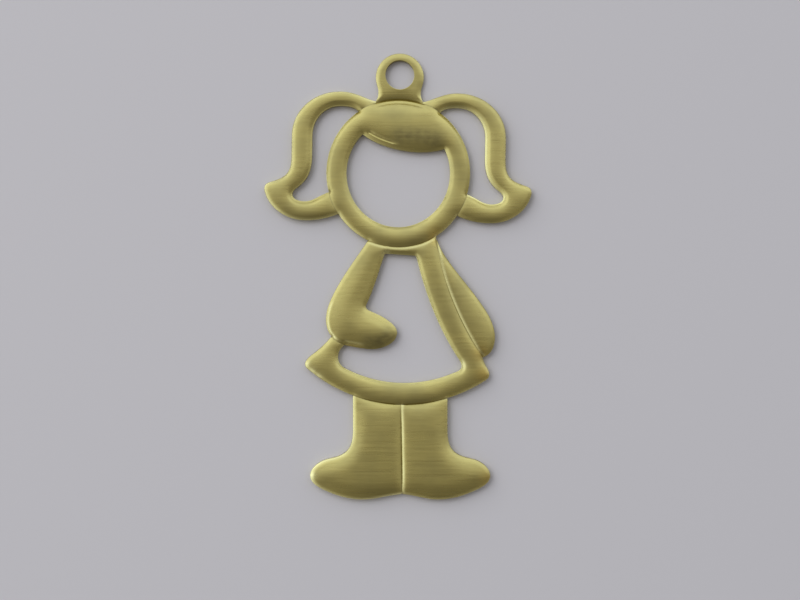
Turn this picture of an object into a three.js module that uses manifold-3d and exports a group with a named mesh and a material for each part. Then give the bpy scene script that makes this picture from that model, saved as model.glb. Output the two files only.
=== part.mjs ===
// A pierced and struck brass pendant: a girl with pigtails under a hanging loop.
// Millimetres. The pendant lies on its back: +Z is the struck front, +Y points to the loop.
// One sheet is divided along its struck lines, and each struck zone is a mesh of its own.
// Plan points are measured from the centre of the head. Drops are measured down from the chin,
// the lowest point of the head ring, or for the boots from the lowest point of the hem.
import * as THREE from "three";
import { mergeVertices } from "three/addons/utils/BufferGeometryUtils.js";
import Module from "manifold-3d";

// The sheet and its relief
const SHEET = 0.5; // thickness of the brass
const DOME_RISE = 0.6; // how far a struck zone swells above the flat sheet
const DOME_REACH = 0.95; // how far in from a line the swelling is full
const TUCK = 0.3; // how far a zone is drawn under the one struck over it, before it is cut back
const HEAD_LEAN = -0.95; // degrees that the head, loop and pigtails lean to the right

// The head ring and the fringe inside it
const HEAD_HALF_WIDTH = 6.58;
const HEAD_HALF_HEIGHT = 6.78;
const RING_BAND = 1.84; // width of the ring round the face opening
const FRINGE_LEFT_ANGLE = 134.5; // degrees round the face opening
const FRINGE_RIGHT_ANGLE = 27.7;
const FRINGE_LEFT_SLOPE = -38; // degrees, the heading of the fringe's edge at its left corner
const FRINGE_RIGHT_SLOPE = 19;

// The hanging loop
const LOOP_HOLE_RADIUS = 1.33;
const LOOP_RIM = 0.87; // width of the metal round the hole
const LOOP_HOLE_RISE = 2.22; // from the top of the head to the centre of the hole
const LOOP_DROP = 0.2; // the loop's outline sits this far below its hole, so the rim is thinner on top
const LOOP_WAIST_ANGLE = -20; // where the round outline ends, in degrees
const LOOP_FOOT_WIDTH = 4.3;
const LOOP_FOOT_DROP = 0.2; // from the top of the head down to the foot's corners

// A pigtail, drawn on the left
const PIGTAIL_ROOT_X = 2.0; // its outer edge starts to turn here, under the loop
const PIGTAIL_ROOT_DROP = 0.26; // from the top of the head down to that edge
const PIGTAIL_RISE = 0.62; // from the top of the head to the top of its arch
const PIGTAIL_TOP_X = 5.4;
const PIGTAIL_TOP_BAND = 1.32; // width of the metal there
const PIGTAIL_GAP = 1.34; // width of the opening between the head and the straight side
const PIGTAIL_SIDE_BAND = 1.88;
const PIGTAIL_SHOULDER_Y = 3.4; // the arch runs into the straight side
const PIGTAIL_FLARE_Y = 1.2; // the straight side runs into the flick of hair
const PIGTAIL_FLICK = 2.2; // how far the tip stands out beyond the straight side
const PIGTAIL_TIP_Y = -1.1;
const PIGTAIL_TIP_HEIGHT = 0.75; // height of the blunt tip
const PIGTAIL_TIP_SLANT = 0.2; // how far its foot stands out beyond its top
const PIGTAIL_CORNER_REACH = 1.38; // lower corner of the opening, beyond its straight side
const PIGTAIL_CORNER_Y = -1.5;
const PIGTAIL_CORNER_HEIGHT = 1.07;
const PIGTAIL_BOTTOM_X = 8.5; // lowest point
const PIGTAIL_BOTTOM_Y = -4.43;
const PIGTAIL_BOTTOM_BAND = 2.03;
const PIGTAIL_BOTTOM_SHIFT = 1; // the band's inner edge is lowest this much nearer the head
const PIGTAIL_ROOT_ANGLE = 124.5; // where the opening's edge meets the head on top, in degrees
const PIGTAIL_END_ANGLE = 214.7; // where the lowest edge runs under the head
const PIGTAIL_OPENING_END_ANGLE = 195.3;

// The dress
const NECK_HALF_WIDTH = 3.5; // where the right edge of the dress leaves the head
const NECK_SIDE_RISE = 0.79; // the neck's straight side ends this far above the chin
const NECKLINE_LEFT_X = -2.0; // end of the neckline under the front arm
const NECKLINE_LEFT_DROP = 0.52;
const NECKLINE_RIGHT_X = 1.6;
const NECKLINE_RIGHT_DROP = 0.77;
const NECKLINE_CUT_WIDTH = 0.1; // the corner between the neckline and the strap
const NECKLINE_CUT_HEIGHT = 0.2;
const STRAP_FOOT_X = 5.6; // lower end of the strap's inner edge
const STRAP_FOOT_DROP = 10.32;
const STRAP_BAND = 2.15; // width of the strap there
const STRAP_SLANT = 0.22; // its outer edge ends this much higher
const HEM_CENTRE_X = 0.55; // centre of the hem's two arcs
const HEM_CENTRE_DROP = 0.79;
const HEM_RADIUS = 13.6;
const HEM_BAND = 1.97;
const HEM_RIGHT_ANGLE = -55.8; // ends of the hem's outer arc, in degrees
const HEM_LEFT_ANGLE = -131.2;
const OPENING_RIGHT_ANGLE = -66.4; // ends of the hem's inner arc
const OPENING_LEFT_ANGLE = -118.7;
const HEM_CORNER_RISE = 1.2; // height of the rounded left corner, outside and inside
const HEM_CORNER_LEAN = 0.5; // the outer corner leans this far to the right
const OPENING_CORNER_LEAN = 0.47; // the inner corner leans this far to the left

// The arm in front of the dress
const SHOULDER_X = -2.6;
const SHOULDER_BAND = 1.8;
const ELBOW_X = -6.62; // outermost point of the elbow
const ELBOW_DROP = 6.52;
const CREASE_X = -2.88; // inside of the elbow
const CREASE_DROP = 5.17;
const CREASE_WIDTH = 0.12;
const CREASE_HEIGHT = 0.57;
const FOREARM_X = -4.8; // the elbow runs into the underside of the forearm
const FOREARM_DROP = 8.98;
const HAND_TIP_X = -0.1;
const HAND_TIP_DROP = 7.82;
const HAND_DEPTH = 1.5; // from the tip down to the underside of the hand
const HAND_LENGTH = 2.2;
const HAND_TOP = 1.1; // from the tip up to the top of the wrist
const WRIST_BACK = 0.81; // from the tip back to the top of the wrist

// The side of the dress under the forearm, from where the elbow runs into it
const SIDE_OUTER_LEAN = 1.06;
const SIDE_OUTER_RISE = 1.13;
const SIDE_INNER_LEAN = 0.44;
const SIDE_INNER_RISE = 0.63;

// The arm behind the dress
const BACK_ARM_BEND_X = 7.52;
const BACK_ARM_BEND_DROP = 5.07;
const BACK_ARM_REACH = 8.86;
const BACK_ARM_REACH_DROP = 8.12;

// The boots, mirror images on either side of their struck line
const BOOTS_X = 0.18; // middle of the pair
const BOOT_LEG_HALF_WIDTH = 4.33;
const BOOT_ANKLE_DROP = 2.33;
const BOOT_INSTEP_X = 6.4;
const BOOT_INSTEP_DROP = 4.93;
const BOOT_TOE_REACH = 8.26;
const BOOT_TOE_DROP = 6.48;
const BOOT_SOLE_DROP = 8.69;
const BOOT_BALL_X = 3.4; // lowest stretch of the sole
const BOOT_TOE_SPRING = 0.63; // rise of the sole from there to the toe
const BOOT_ARCH_RISE = 0.48; // rise of the sole at the struck line
const BOOT_LINE_TOP_X = 0.05; // the struck line, from the middle of the pair
const BOOT_LINE_FOOT_X = 0.18;

// Columns across a zone, as shares of its width
const BAND_COLUMNS = [0, 0.12, 0.3, 0.5, 0.7, 0.88, 1];
const WIDE_COLUMNS = [0, 0.06, 0.16, 0.32, 0.5, 0.68, 0.84, 0.94, 1];

const wasm = await Module();
wasm.setup();

const radians = THREE.MathUtils.degToRad;
const at = (x, y) => new THREE.Vector2(x, y);
const polar = (centre, radius, degrees) =>
  at(radius, 0).rotateAround(at(0, 0), radians(degrees)).add(centre);

// Points that several zones share
const headCentre = at(0, 0);
const chin = at(0, -HEAD_HALF_HEIGHT);
const belowChin = (x, drop) => at(x, chin.y - drop);
const hemCentre = belowChin(HEM_CENTRE_X, HEM_CENTRE_DROP);
const hemBottom = at(hemCentre.x, hemCentre.y - HEM_RADIUS);
const neckSide = belowChin(NECK_HALF_WIDTH, -NECK_SIDE_RISE);
const strapFoot = belowChin(STRAP_FOOT_X + STRAP_BAND, STRAP_FOOT_DROP - STRAP_SLANT);

// Plan curves
const line = (from, to) => new THREE.LineCurve(from, to);
const ellipse = (centre, radiusX, radiusY, start, end) =>
  new THREE.EllipseCurve(centre.x, centre.y, radiusX, radiusY, radians(start), radians(end), end < start);
const arc = (centre, radius, start, end) => ellipse(centre, radius, radius, start, end);

// Points tucked under the head, at an angle round it or at a distance from its middle
const tuckedWidth = HEAD_HALF_WIDTH - TUCK;
const tuckedHeight = HEAD_HALF_HEIGHT - TUCK;
const underHead = (degrees) =>
  at(tuckedWidth * Math.cos(radians(degrees)), tuckedHeight * Math.sin(radians(degrees)));
const angleUnderCrown = (x) => THREE.MathUtils.radToDeg(Math.acos(x / tuckedWidth));
const angleUnderChin = (x) => -angleUnderCrown(x);
const underChin = (x) => underHead(angleUnderChin(x));

// A bend leaves one point at a heading and reaches the other at a heading, both in degrees.
// Its pulls are shares of the distance between the points.
const bend = (from, heading, pullOut, to, arrival, pullIn) => {
  const reach = from.distanceTo(to);
  return new THREE.CubicBezierCurve(
    from,
    polar(from, reach * pullOut, heading),
    polar(to, -reach * pullIn, arrival),
    to,
  );
};

// The struck line between the dress and the back arm
const strapEdge = bend(neckSide, 276, 0.45, strapFoot, 306, 0.12);
const STRAP_STEPS = 20;

// Points along curves that follow one another, with each shared end once
const pointsAlong = (stretches) =>
  stretches.flatMap(([curve, steps], i) => curve.getSpacedPoints(steps).slice(i ? 1 : 0));

// A zone's plan: rows of points from its outer edge to its inner edge.
// Each segment pairs a stretch of the outer edge with one of the inner edge.
const planOf = (segments, columns, move = (point) => point) => {
  const outer = pointsAlong(segments.map(([curve, , steps]) => [curve, steps]));
  const inner = pointsAlong(segments.map(([, curve, steps]) => [curve, steps]));
  const closed = outer[0].distanceTo(outer.at(-1)) < 1e-6 && inner[0].distanceTo(inner.at(-1)) < 1e-6;
  if (closed) {
    outer.pop();
    inner.pop();
  }
  const rows = outer.map((point, i) => columns.map((share) => move(point.clone().lerp(inner[i], share))));
  const outerEdge = rows.map((row) => row[0]);
  const innerEdge = rows.map((row) => row.at(-1));
  const around = closed ? outerEdge : [...outerEdge, ...innerEdge.toReversed()];
  const outline = around.filter((point, i) => point.distanceTo(around.at(i - 1)) > 1e-6);
  return { rows, columns, closed, outline };
};

// How far a plan point lies outside an outline, negative inside it
const distanceFrom = (point, outline) => {
  let inside = false;
  let nearest = Infinity;
  outline.forEach((end, i) => {
    const start = outline.at(i - 1);
    const side = end.clone().sub(start);
    const share = THREE.MathUtils.clamp(point.clone().sub(start).dot(side) / side.lengthSq(), 0, 1);
    nearest = Math.min(nearest, point.distanceTo(start.clone().addScaledVector(side, share)));
    const crosses = start.y > point.y !== end.y > point.y;
    if (crosses && point.x < start.x + (side.x * (point.y - start.y)) / side.y) inside = !inside;
  });
  return inside ? -nearest : nearest;
};

// The round shoulder of a dome: nothing at its edge, full at one, sinking on below the edge
const shoulder = (share) => Math.sin((Math.PI / 2) * THREE.MathUtils.clamp(share, -1, 1));

// A triangle mesh as a solid, without the triangles that shrink to a line
const solidOf = (geometry) => {
  geometry.deleteAttribute("normal");
  geometry.deleteAttribute("uv");
  const merged = mergeVertices(geometry, 1e-5);
  const corners = merged.index.array;
  const kept = [];
  for (let i = 0; i < corners.length; i += 3) {
    const [a, b, c] = corners.slice(i, i + 3);
    if (a !== b && b !== c && c !== a) kept.push(a, b, c);
  }
  return new wasm.Manifold(
    new wasm.Mesh({
      numProp: 3,
      vertProperties: merged.attributes.position.array,
      triVerts: new Uint32Array(kept),
    }),
  );
};

// An outline as a prism through the whole pendant
const prismOf = (outline) => {
  const depth = SHEET + DOME_RISE;
  const prism = new THREE.ExtrudeGeometry(new THREE.Shape(outline), { depth: 3 * depth, bevelEnabled: false });
  return solidOf(prism.translate(0, 0, -depth));
};

// The flat sheet inside an outline, pierced by a hole
const flatSheet = (outline, hole) => {
  const shape = new THREE.Shape(outline);
  shape.holes.push(new THREE.Path(hole));
  return solidOf(new THREE.ExtrudeGeometry(shape, { depth: SHEET, bevelEnabled: false }));
};

// The sheet over a plan, swelling between its edges and sinking to every line struck over it
const domedSheet = (plan, covers) => {
  const swelling = (point, share, width) => {
    const fromLines = covers.map((cover) => distanceFrom(point, cover.outline) / DOME_REACH);
    const sinking = shoulder(Math.min(1, ...fromLines));
    const across = shoulder(Math.min(2 * share, 2 - 2 * share));
    return DOME_RISE * across * sinking * shoulder(width / (2 * DOME_REACH));
  };
  const positions = [];
  for (const row of plan.rows) {
    const width = row[0].distanceTo(row.at(-1));
    row.forEach((point, j) => {
      const lift = swelling(point, plan.columns[j], width);
      positions.push(point.x, point.y, Math.max(lift, 0), point.x, point.y, SHEET + lift);
    });
  }
  const across = plan.columns.length;
  const rowCount = plan.rows.length;
  const under = (i, j) => 2 * ((i % rowCount) * across + j);
  const over = (i, j) => under(i, j) + 1;
  const index = [];
  const quad = (a, b, c, d) => index.push(a, b, c, a, c, d);
  const lastRow = plan.closed ? rowCount : rowCount - 1;
  for (let i = 0; i < lastRow; i += 1) {
    for (let j = 0; j < across - 1; j += 1) {
      quad(over(i, j), over(i + 1, j), over(i + 1, j + 1), over(i, j + 1));
      quad(under(i, j), under(i, j + 1), under(i + 1, j + 1), under(i + 1, j));
    }
    quad(over(i, 0), under(i, 0), under(i + 1, 0), over(i + 1, 0));
    quad(over(i, across - 1), over(i + 1, across - 1), under(i + 1, across - 1), under(i, across - 1));
  }
  if (!plan.closed) {
    for (let j = 0; j < across - 1; j += 1) {
      quad(over(0, j), over(0, j + 1), under(0, j + 1), under(0, j));
      quad(over(lastRow, j), under(lastRow, j), under(lastRow, j + 1), over(lastRow, j + 1));
    }
  }
  const geometry = new THREE.BufferGeometry();
  geometry.setAttribute("position", new THREE.Float32BufferAttribute(positions, 3));
  geometry.setIndex(THREE.ShapeUtils.isClockWise(plan.outline) ? index.toReversed() : index);
  return solidOf(geometry);
};

// A zone is a piece of the sheet, cut back where other zones were struck over it.
const zone = (name, sheet, covers) => {
  let solid = sheet;
  for (const cover of covers) solid = solid.subtract(prismOf(cover.outline));
  const { vertProperties, triVerts } = solid.getMesh();
  const geometry = new THREE.BufferGeometry();
  geometry.setAttribute("position", new THREE.BufferAttribute(vertProperties, 3));
  geometry.setIndex(new THREE.BufferAttribute(triVerts, 1));
  geometry.computeVertexNormals();
  const brass = new THREE.MeshStandardMaterial({ color: 0xb5a85e, roughness: 0.38, metalness: 1 });
  const mesh = new THREE.Mesh(geometry, brass);
  mesh.name = name;
  return mesh;
};
const domedZone = (name, plan, covers = []) => zone(name, domedSheet(plan, covers), covers);

// The head's zones lean together about the centre of the head.
const leaning = (point) => point.clone().rotateAround(headCentre, radians(HEAD_LEAN));

// The ring is paired with the fringe's lower edge on top, and with the face opening elsewhere.
const headPlan = () => {
  const ring = (band, start, end) =>
    ellipse(headCentre, HEAD_HALF_WIDTH - band, HEAD_HALF_HEIGHT - band, start, end);
  const fullTurn = FRINGE_LEFT_ANGLE - 360;
  const face = ring(RING_BAND, FRINGE_RIGHT_ANGLE, fullTurn);
  const fringeRight = face.getPoint(0);
  const fringeLeft = face.getPoint(1);
  return planOf(
    [
      [
        ring(0, FRINGE_LEFT_ANGLE, FRINGE_RIGHT_ANGLE),
        bend(fringeLeft, FRINGE_LEFT_SLOPE, 0.28, fringeRight, FRINGE_RIGHT_SLOPE, 0.32),
        22,
      ],
      [ring(0, FRINGE_RIGHT_ANGLE, fullTurn), face, 50],
    ],
    BAND_COLUMNS,
    leaning,
  );
};

// The loop is a flat tab with a round top, a waist, and a foot that runs under the head.
const loopPlan = () => {
  const holeCentre = at(0, HEAD_HALF_HEIGHT + LOOP_HOLE_RISE);
  const roundCentre = at(0, holeCentre.y - LOOP_DROP);
  const radius = LOOP_HOLE_RADIUS + LOOP_RIM;
  const footX = LOOP_FOOT_WIDTH / 2;
  const footY = HEAD_HALF_HEIGHT - LOOP_FOOT_DROP;
  const rightWaist = polar(roundCentre, radius, LOOP_WAIST_ANGLE);
  const leftWaist = polar(roundCentre, radius, 180 - LOOP_WAIST_ANGLE);
  const hidden = HEAD_HALF_HEIGHT - RING_BAND;
  const outline = pointsAlong([
    [arc(roundCentre, radius, LOOP_WAIST_ANGLE, 180 - LOOP_WAIST_ANGLE), 28],
    [bend(leftWaist, -70, 0.4, at(-footX, footY), 235, 0.3), 7],
    [line(at(-footX, footY), at(-footX, hidden)), 1],
    [line(at(-footX, hidden), at(footX, hidden)), 1],
    [line(at(footX, hidden), at(footX, footY)), 1],
    [bend(at(footX, footY), 125, 0.3, rightWaist, 70, 0.4), 7],
  ]);
  outline.pop();
  const hole = arc(holeCentre, LOOP_HOLE_RADIUS, 0, 360).getSpacedPoints(28);
  hole.pop();
  return { outline: outline.map(leaning), hole: hole.map(leaning) };
};

// A pigtail runs from under the loop, over its arch and down to the flick, and back under the head.
const pigtailPlan = (side) => {
  const left = (x, y) => at(-x, y);
  const top = HEAD_HALF_HEIGHT + PIGTAIL_RISE;
  const innerTop = top - PIGTAIL_TOP_BAND;
  const innerReach = HEAD_HALF_WIDTH + PIGTAIL_GAP;
  const reach = innerReach + PIGTAIL_SIDE_BAND;
  const archTop = left(PIGTAIL_TOP_X, top);
  const archInnerTop = left(PIGTAIL_TOP_X, innerTop);
  const archCentre = left(PIGTAIL_TOP_X, PIGTAIL_SHOULDER_Y);
  const arch = (x, y) => ellipse(archCentre, x - PIGTAIL_TOP_X, y - PIGTAIL_SHOULDER_Y, 90, 180);
  const tip = left(reach + PIGTAIL_FLICK, PIGTAIL_TIP_Y);
  const tipFoot = at(tip.x - PIGTAIL_TIP_SLANT, tip.y - PIGTAIL_TIP_HEIGHT);
  const corner = left(innerReach + PIGTAIL_CORNER_REACH, PIGTAIL_CORNER_Y);
  const cornerFoot = at(corner.x, corner.y - PIGTAIL_CORNER_HEIGHT);
  const bottom = left(PIGTAIL_BOTTOM_X, PIGTAIL_BOTTOM_Y);
  const innerBottom = at(bottom.x + PIGTAIL_BOTTOM_SHIFT, bottom.y + PIGTAIL_BOTTOM_BAND);
  const outerRoot = left(PIGTAIL_ROOT_X, HEAD_HALF_HEIGHT - PIGTAIL_ROOT_DROP);
  const outerStart = at(outerRoot.x + TUCK, outerRoot.y);
  const startAngle = angleUnderCrown(outerStart.x);
  const innerRoot = underHead(PIGTAIL_ROOT_ANGLE);
  const outerEnd = underHead(PIGTAIL_END_ANGLE);
  const innerEnd = underHead(PIGTAIL_OPENING_END_ANGLE);
  const mirrored = (point) => leaning(side < 0 ? point : at(-point.x, point.y));
  return planOf(
    [
      [
        line(outerStart, outerRoot),
        ellipse(headCentre, tuckedWidth, tuckedHeight, startAngle, PIGTAIL_ROOT_ANGLE),
        3,
      ],
      [bend(outerRoot, 175, 0.26, archTop, 180, 0.44), bend(innerRoot, 120, 0.39, archInnerTop, 180, 0.49), 8],
      [arch(reach, top), arch(innerReach, innerTop), 10],
      [
        line(left(reach, PIGTAIL_SHOULDER_Y), left(reach, PIGTAIL_FLARE_Y)),
        line(left(innerReach, PIGTAIL_SHOULDER_Y), left(innerReach, PIGTAIL_FLARE_Y)),
        3,
      ],
      [
        bend(left(reach, PIGTAIL_FLARE_Y), 270, 0.58, tip, 202, 0.37),
        bend(left(innerReach, PIGTAIL_FLARE_Y), 268, 0.39, corner, 215, 0.39),
        8,
      ],
      [bend(tip, 211, 0.38, tipFoot, 285, 0.4), bend(corner, 215, 0.57, cornerFoot, 338, 0.55), 4],
      [bend(tipFoot, 283, 0.3, bottom, 360, 0.44), bend(cornerFoot, 339, 0.36, innerBottom, 30, 0.38), 8],
      [bend(bottom, 0, 0.26, outerEnd, 23, 0.48), bend(innerBottom, 30, 0.31, innerEnd, 23, 0.44), 5],
    ],
    BAND_COLUMNS,
    mirrored,
  );
};

// The dress is a frame round its opening: the neckline under the head, the strap, the hem, and
// the left side up to where it goes under the front arm.
const dressPlan = () => {
  const innerRadius = HEM_RADIUS - HEM_BAND;
  const neckLeft = belowChin(NECKLINE_LEFT_X, NECKLINE_LEFT_DROP);
  const neckRight = belowChin(NECKLINE_RIGHT_X, NECKLINE_RIGHT_DROP);
  const strapTop = at(neckRight.x + NECKLINE_CUT_WIDTH, neckRight.y - NECKLINE_CUT_HEIGHT);
  const innerFoot = belowChin(STRAP_FOOT_X, STRAP_FOOT_DROP);
  const neckStart = angleUnderChin(NECKLINE_LEFT_X);
  const neckEnd = angleUnderChin(NECK_HALF_WIDTH);
  const hemRight = polar(hemCentre, HEM_RADIUS, HEM_RIGHT_ANGLE);
  const hemLeft = polar(hemCentre, HEM_RADIUS, HEM_LEFT_ANGLE);
  const openingRight = polar(hemCentre, innerRadius, OPENING_RIGHT_ANGLE);
  const openingLeft = polar(hemCentre, innerRadius, OPENING_LEFT_ANGLE);
  const leftCorner = at(hemLeft.x + HEM_CORNER_LEAN, hemLeft.y + HEM_CORNER_RISE);
  const leftInner = at(openingLeft.x - OPENING_CORNER_LEAN, openingLeft.y + HEM_CORNER_RISE);
  const underElbow = belowChin(FOREARM_X - SIDE_OUTER_LEAN, FOREARM_DROP - SIDE_OUTER_RISE);
  const underForearm = belowChin(FOREARM_X + SIDE_INNER_LEAN, FOREARM_DROP - SIDE_INNER_RISE);
  return planOf(
    [
      [ellipse(headCentre, tuckedWidth, tuckedHeight, neckStart, neckEnd), line(neckLeft, neckRight), 8],
      [line(underChin(NECK_HALF_WIDTH), neckSide), line(neckRight, strapTop), 1],
      [strapEdge, bend(strapTop, 283, 0.36, innerFoot, 304, 0.3), STRAP_STEPS],
      [bend(strapFoot, 274, 0.39, hemRight, 228, 0.4), bend(innerFoot, 308, 0.48, openingRight, 194, 0.64), 6],
      [
        arc(hemCentre, HEM_RADIUS, HEM_RIGHT_ANGLE, HEM_LEFT_ANGLE),
        arc(hemCentre, innerRadius, OPENING_RIGHT_ANGLE, OPENING_LEFT_ANGLE),
        28,
      ],
      [bend(hemLeft, 139, 0.36, leftCorner, 37, 0.49), bend(openingLeft, 146, 0.37, leftInner, 81, 0.39), 5],
      [bend(leftCorner, 35, 0.26, underElbow, 51, 0.46), bend(leftInner, 82, 0.29, underForearm, 49, 0.53), 5],
    ],
    BAND_COLUMNS,
  );
};

// The front arm runs from under the head, round the elbow and out to the rounded hand.
const frontArmPlan = () => {
  const shoulderOuter = underChin(SHOULDER_X);
  const shoulderInner = underChin(SHOULDER_X + SHOULDER_BAND);
  const elbow = belowChin(ELBOW_X, ELBOW_DROP);
  const crease = belowChin(CREASE_X, CREASE_DROP);
  const creaseFoot = at(crease.x + CREASE_WIDTH, crease.y - CREASE_HEIGHT);
  const forearm = belowChin(FOREARM_X, FOREARM_DROP);
  const handTip = belowChin(HAND_TIP_X, HAND_TIP_DROP);
  const wristUnder = at(handTip.x - HAND_LENGTH, handTip.y - HAND_DEPTH);
  const wristTop = at(handTip.x - WRIST_BACK, handTip.y + HAND_TOP);
  return planOf(
    [
      [bend(shoulderOuter, 237, 0.27, elbow, 270, 0.24), bend(shoulderInner, 240, 0.25, crease, 246, 0.5), 14],
      [bend(elbow, 270, 0.44, forearm, 341, 0.42), bend(crease, 237, 0.51, creaseFoot, 334, 0.48), 8],
      [bend(forearm, 350, 0.36, wristUnder, 1, 0.3), bend(creaseFoot, 335, 0.35, wristTop, 321, 0.32), 6],
      [bend(wristUnder, 3, 0.41, handTip, 90, 0.33), bend(wristTop, 325, 0.45, handTip, 270, 0.29), 8],
    ],
    WIDE_COLUMNS,
  );
};

// The back arm fills the space between its outer edge and the struck line along the strap.
const backArmPlan = () => {
  const bendPoint = belowChin(BACK_ARM_BEND_X, BACK_ARM_BEND_DROP);
  const reach = belowChin(BACK_ARM_REACH, BACK_ARM_REACH_DROP);
  const outerEdge = new THREE.CurvePath();
  outerEdge.add(bend(neckSide, 288, 0.28, bendPoint, 305, 0.4));
  outerEdge.add(bend(bendPoint, 306, 0.3, reach, 272, 0.35));
  outerEdge.add(bend(reach, 272, 0.45, strapFoot, 198, 0.35));
  return planOf([[outerEdge, strapEdge, STRAP_STEPS]], WIDE_COLUMNS);
};

// A boot is paired with the struck line between the boots, from under the hem to the sole.
// It is drawn with a straight top, which is then draped along the curve of the hem.
const bootPlan = (side) => {
  const hemY = hemBottom.y;
  const ankleY = hemY - BOOT_ANKLE_DROP;
  const heelY = hemY - BOOT_SOLE_DROP + BOOT_ARCH_RISE;
  const boot = (x, drop) => at(BOOTS_X + side * x, hemY - drop);
  const turned = (degrees) => (side > 0 ? degrees : 180 - degrees);
  const leg = (y) => at(BOOTS_X + side * BOOT_LEG_HALF_WIDTH, y);
  const split = (y) => {
    const share = (hemY - y) / (hemY - heelY);
    return at(BOOTS_X + THREE.MathUtils.lerp(BOOT_LINE_TOP_X, BOOT_LINE_FOOT_X, share), y);
  };
  const splitAt = (share) => split(THREE.MathUtils.lerp(ankleY, heelY, share));
  const draped = (point) => {
    const hang = HEM_RADIUS - Math.sqrt(HEM_RADIUS ** 2 - (point.x - hemCentre.x) ** 2);
    const fade = THREE.MathUtils.clamp((point.y - ankleY) / (hemY - ankleY), 0, 1);
    return at(point.x, point.y + hang * fade);
  };
  const tuckedY = hemY + TUCK;
  const domedY = hemY - DOME_REACH;
  const ankle = leg(ankleY);
  const instep = boot(BOOT_INSTEP_X, BOOT_INSTEP_DROP);
  const toe = boot(BOOT_TOE_REACH, BOOT_TOE_DROP);
  const underToe = boot(BOOT_INSTEP_X, BOOT_SOLE_DROP - BOOT_TOE_SPRING);
  const ball = boot(BOOT_BALL_X, BOOT_SOLE_DROP);
  const heel = split(heelY);
  return planOf(
    [
      [line(leg(tuckedY), leg(hemY)), line(split(tuckedY), split(hemY)), 1],
      [line(leg(hemY), leg(domedY)), line(split(hemY), split(domedY)), 4],
      [line(leg(domedY), ankle), line(split(domedY), splitAt(0)), 3],
      [bend(ankle, 270, 0.5, instep, turned(-10), 0.47), line(splitAt(0), splitAt(0.35)), 7],
      [bend(instep, turned(-10), 0.44, toe, 270, 0.26), line(splitAt(0.35), splitAt(0.6)), 6],
      [bend(toe, 270, 0.3, underToe, turned(202), 0.47), line(splitAt(0.6), splitAt(0.78)), 6],
      [bend(underToe, turned(203), 0.42, ball, turned(180), 0.26), line(splitAt(0.78), splitAt(0.92)), 5],
      [bend(ball, turned(180), 0.35, heel, turned(178), 0.38), line(splitAt(0.92), heel), 5],
    ],
    WIDE_COLUMNS,
    draped,
  );
};

// The head is struck over everything it meets, the loop over the pigtails, the front arm over
// the dress, and the dress over the boots.
const head = headPlan();
const loop = loopPlan();
const frontArm = frontArmPlan();
const dress = dressPlan();

const pendant = new THREE.Group();
pendant.add(
  zone("hanging_loop", flatSheet(loop.outline, loop.hole), [head]),
  domedZone("head_ring", head),
  domedZone("left_pigtail", pigtailPlan(-1), [head, loop]),
  domedZone("right_pigtail", pigtailPlan(1), [head, loop]),
  domedZone("dress", dress, [head, frontArm]),
  domedZone("front_arm", frontArm, [head]),
  domedZone("back_arm", backArmPlan(), [head]),
  domedZone("left_boot", bootPlan(-1), [dress]),
  domedZone("right_boot", bootPlan(1), [dress]),
);

// The origin is the middle of the pendant's outline, on the surface that its back rests on.
const middle = new THREE.Box3().setFromObject(pendant).getCenter(new THREE.Vector3());
pendant.position.set(-middle.x, -middle.y, 0);

export default pendant;
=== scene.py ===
# A struck and pierced brass pendant, a girl with pigtails, lying on a pale surface under soft light.
# The plan outlines come from the frame. Plan lengths and heights are in millimetres until a mesh
# is made, and everything else is in metres.
import collections
import math

import bpy
import numpy as np
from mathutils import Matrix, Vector
from mathutils.geometry import delaunay_2d_cdt


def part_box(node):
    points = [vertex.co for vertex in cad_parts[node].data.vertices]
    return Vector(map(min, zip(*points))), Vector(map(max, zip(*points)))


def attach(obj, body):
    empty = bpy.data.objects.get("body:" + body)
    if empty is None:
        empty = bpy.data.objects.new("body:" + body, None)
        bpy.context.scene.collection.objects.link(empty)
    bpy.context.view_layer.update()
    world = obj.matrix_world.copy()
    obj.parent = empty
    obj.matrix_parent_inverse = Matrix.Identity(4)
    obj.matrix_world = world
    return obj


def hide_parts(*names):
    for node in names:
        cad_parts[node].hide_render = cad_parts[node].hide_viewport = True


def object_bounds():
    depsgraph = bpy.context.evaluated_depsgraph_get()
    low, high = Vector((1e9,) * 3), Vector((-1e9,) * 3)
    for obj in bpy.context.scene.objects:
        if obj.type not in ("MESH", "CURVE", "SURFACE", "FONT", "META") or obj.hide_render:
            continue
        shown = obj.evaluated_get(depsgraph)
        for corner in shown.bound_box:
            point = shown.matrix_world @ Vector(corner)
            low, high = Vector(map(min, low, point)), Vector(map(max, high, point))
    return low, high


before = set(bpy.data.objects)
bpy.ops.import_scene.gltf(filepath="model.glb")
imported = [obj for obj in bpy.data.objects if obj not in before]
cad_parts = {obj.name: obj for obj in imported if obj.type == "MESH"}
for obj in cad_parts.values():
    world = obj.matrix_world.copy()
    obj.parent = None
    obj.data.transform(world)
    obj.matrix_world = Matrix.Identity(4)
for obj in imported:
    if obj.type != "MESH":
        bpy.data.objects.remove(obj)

cad_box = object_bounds()
MM = 0.001

# The sheet, its relief and its edges
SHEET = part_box("hanging_loop")[1][2] / MM
FULL_HEIGHT = cad_box[1][2] / MM
BURR_ROUND = 0.04  # the back's cut edges are rounded by this much, over this width
HOLLOW_MARGIN = 0.1  # the hollow of the back starts once the front has risen this much
HOLLOW_SHARE = 0.95  # and then rises by this share of what the front still rises
BODY_SPREAD = 3  # the broad swell of a wide zone rounds off over this much
LEVEL_SPREAD = 0.6  # how far the level of a struck line carries into its zones
EDGE_FALL = 0.3  # how far from a cut edge a struck line comes up to its level
SEAM_RISE = 1.4  # the pigtails swell out of the flat sheet of the loop over this length
LIMIT_SHARPNESS = 6  # how sharply the relief levels off under the full height

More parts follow.
